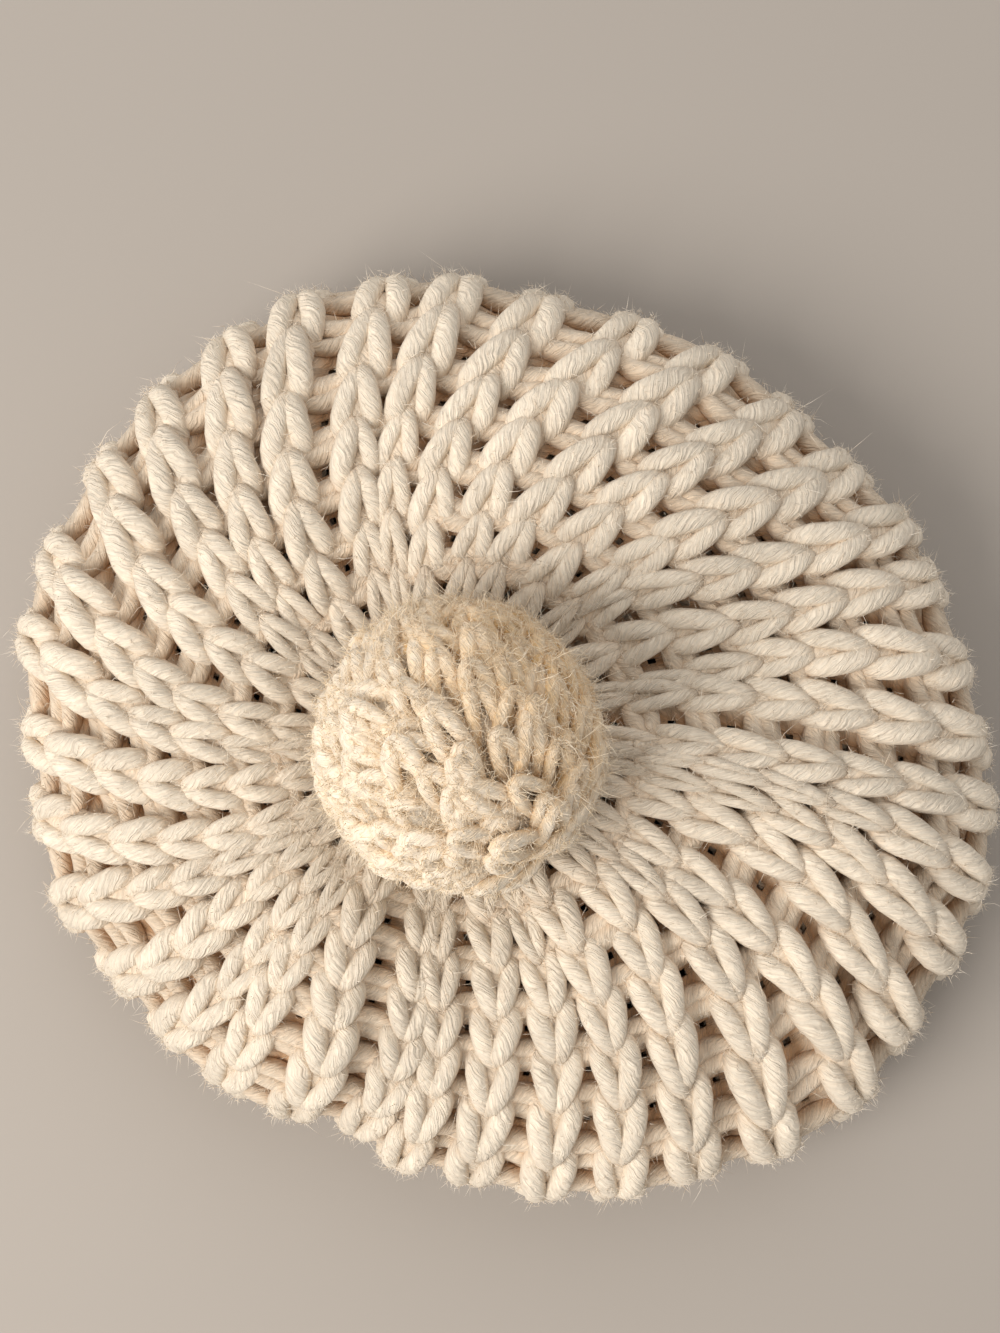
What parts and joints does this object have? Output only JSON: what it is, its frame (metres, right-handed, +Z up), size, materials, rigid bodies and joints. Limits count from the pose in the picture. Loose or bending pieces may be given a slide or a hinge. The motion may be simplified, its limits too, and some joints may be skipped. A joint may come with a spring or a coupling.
{
  "type": "tam o shanter",
  "caption": "Chunky rib-knit cream wool tam o shanter with a large yarn pompom, lying on its headband with its top slightly swirled and folded.",
  "frame": {"origin": "on the surface the hat rests on, under the middle of the rim's outline", "axes": "+Z up through the pompom, +X to the right of the picture, +Y to the top of the picture"},
  "size_m": [0.2805, 0.2667, 0.1054],
  "materials": {
    "crown_wool": "soft chunky rib knit, slightly fuzzy",
    "band_wool": "soft chunky rib knit, slightly fuzzy",
    "pompom_wool": "loose loops and felted ends of soft yarn",
    "tie_wool": "twisted yarn"
  },
  "bodies": {
    "root": {"crown": "crown_wool", "headband": "band_wool", "pompom": "pompom_wool", "pompom_tie": "tie_wool"}
  },
  "joints": []
}
